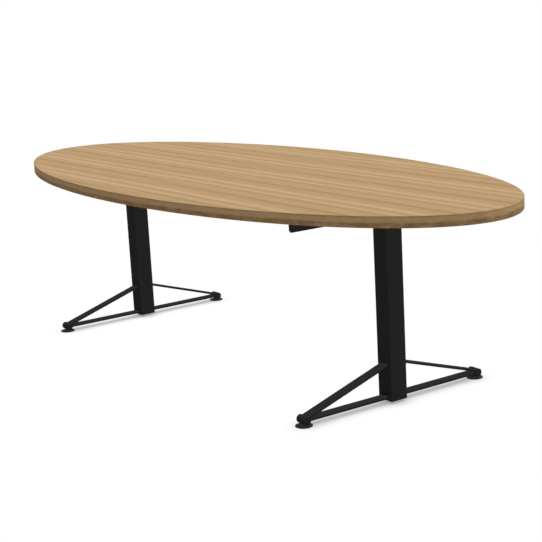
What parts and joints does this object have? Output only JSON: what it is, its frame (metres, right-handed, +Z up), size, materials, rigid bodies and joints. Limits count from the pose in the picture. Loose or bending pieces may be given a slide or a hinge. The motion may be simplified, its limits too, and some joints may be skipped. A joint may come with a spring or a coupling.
{
  "type": "conference table",
  "caption": "Oval conference table: a wood-decor laminated top on black steel T-legs with square columns, trussed flat-bar feet, a hidden beam and levelling glides.",
  "frame": {"origin": "on the floor under the centre of the oval top", "axes": "+X along the top's length towards the nearer leg in the picture, -Y towards the near side, +Z up"},
  "size_m": [2.8, 1.2, 0.736],
  "materials": {
    "decor_laminate": "fine straight light-oak grain, satin",
    "chipboard_core": "raw chipboard, hidden",
    "edge_band": "wood-decor band, satin",
    "black_steel": "black powder coat, low sheen",
    "black_plastic": "moulded black",
    "zinc_steel": "bright zinc plated"
  },
  "bodies": {
    "table": {"tabletop_core": "chipboard_core", "tabletop_laminate": "decor_laminate", "tabletop_backer": "decor_laminate", "tabletop_edge_band": "edge_band", "right_column": "black_steel", "right_column_plug": "black_plastic", "right_top_arm": "black_steel", "right_beam_plate": "black_steel", "right_near_arm_cap": "black_plastic", "right_near_foot_bar": "black_steel", "right_near_foot_brace": "black_steel", "right_near_foot_boss": "black_steel", "right_near_beam_bolt": "zinc_steel", "right_near_inner_lug": "black_steel", "right_near_inner_lug_screw": "zinc_steel", "right_near_outer_lug": "black_steel", "right_near_outer_lug_screw": "zinc_steel", "right_far_arm_cap": "black_plastic", "right_far_foot_bar": "black_steel", "right_far_foot_brace": "black_steel", "right_far_foot_boss": "black_steel", "right_far_beam_bolt": "zinc_steel", "right_far_inner_lug": "black_steel", "right_far_inner_lug_screw": "zinc_steel", "right_far_outer_lug": "black_steel", "right_far_outer_lug_screw": "zinc_steel", "left_column": "black_steel", "left_column_plug": "black_plastic", "left_top_arm": "black_steel", "left_beam_plate": "black_steel", "left_near_arm_cap": "black_plastic", "left_near_foot_bar": "black_steel", "left_near_foot_brace": "black_steel", "left_near_foot_boss": "black_steel", "left_near_beam_bolt": "zinc_steel", "left_near_inner_lug": "black_steel", "left_near_inner_lug_screw": "zinc_steel", "left_near_outer_lug": "black_steel", "left_near_outer_lug_screw": "zinc_steel", "left_far_arm_cap": "black_plastic", "left_far_foot_bar": "black_steel", "left_far_foot_brace": "black_steel", "left_far_foot_boss": "black_steel", "left_far_beam_bolt": "zinc_steel", "left_far_inner_lug": "black_steel", "left_far_inner_lug_screw": "zinc_steel", "left_far_outer_lug": "black_steel", "left_far_outer_lug_screw": "zinc_steel", "beam": "black_steel"},
    "right_near_spindle": {"right_near_glide_spindle": "zinc_steel"},
    "right_near_pad": {"right_near_glide_pad": "black_plastic"},
    "right_far_spindle": {"right_far_glide_spindle": "zinc_steel"},
    "right_far_pad": {"right_far_glide_pad": "black_plastic"},
    "left_near_spindle": {"left_near_glide_spindle": "zinc_steel"},
    "left_near_pad": {"left_near_glide_pad": "black_plastic"},
    "left_far_spindle": {"left_far_glide_spindle": "zinc_steel"},
    "left_far_pad": {"left_far_glide_pad": "black_plastic"}
  },
  "joints": [
    {"name": "right_near_glide_height", "type": "slide", "parent": "table", "child": "right_near_pad", "axis": [0, 0, -1], "range_m": [0, 0.012]},
    {"name": "right_near_glide_turn", "type": "hinge", "parent": "right_near_pad", "child": "right_near_spindle", "pos_m": [0.875, -0.388, 0], "axis": [0, 0, -1], "range_deg": [0, 2880]},
    {"name": "right_far_glide_height", "type": "slide", "parent": "table", "child": "right_far_pad", "axis": [0, 0, -1], "range_m": [0, 0.012]},
    {"name": "right_far_glide_turn", "type": "hinge", "parent": "right_far_pad", "child": "right_far_spindle", "pos_m": [0.875, 0.388, 0], "axis": [0, 0, -1], "range_deg": [0, 2880]},
    {"name": "left_near_glide_height", "type": "slide", "parent": "table", "child": "left_near_pad", "axis": [0, 0, -1], "range_m": [0, 0.012]},
    {"name": "left_near_glide_turn", "type": "hinge", "parent": "left_near_pad", "child": "left_near_spindle", "pos_m": [-0.875, -0.388, 0], "axis": [0, 0, -1], "range_deg": [0, 2880]},
    {"name": "left_far_glide_height", "type": "slide", "parent": "table", "child": "left_far_pad", "axis": [0, 0, -1], "range_m": [0, 0.012]},
    {"name": "left_far_glide_turn", "type": "hinge", "parent": "left_far_pad", "child": "left_far_spindle", "pos_m": [-0.875, 0.388, 0], "axis": [0, 0, -1], "range_deg": [0, 2880]}
  ],
  "couplings": [
    {"joint": "right_near_glide_turn", "follows": "right_near_glide_height", "rad_per_m": 4188.8},
    {"joint": "right_far_glide_turn", "follows": "right_far_glide_height", "rad_per_m": 4188.8},
    {"joint": "left_near_glide_turn", "follows": "left_near_glide_height", "rad_per_m": 4188.8},
    {"joint": "left_far_glide_turn", "follows": "left_far_glide_height", "rad_per_m": 4188.8}
  ]
}
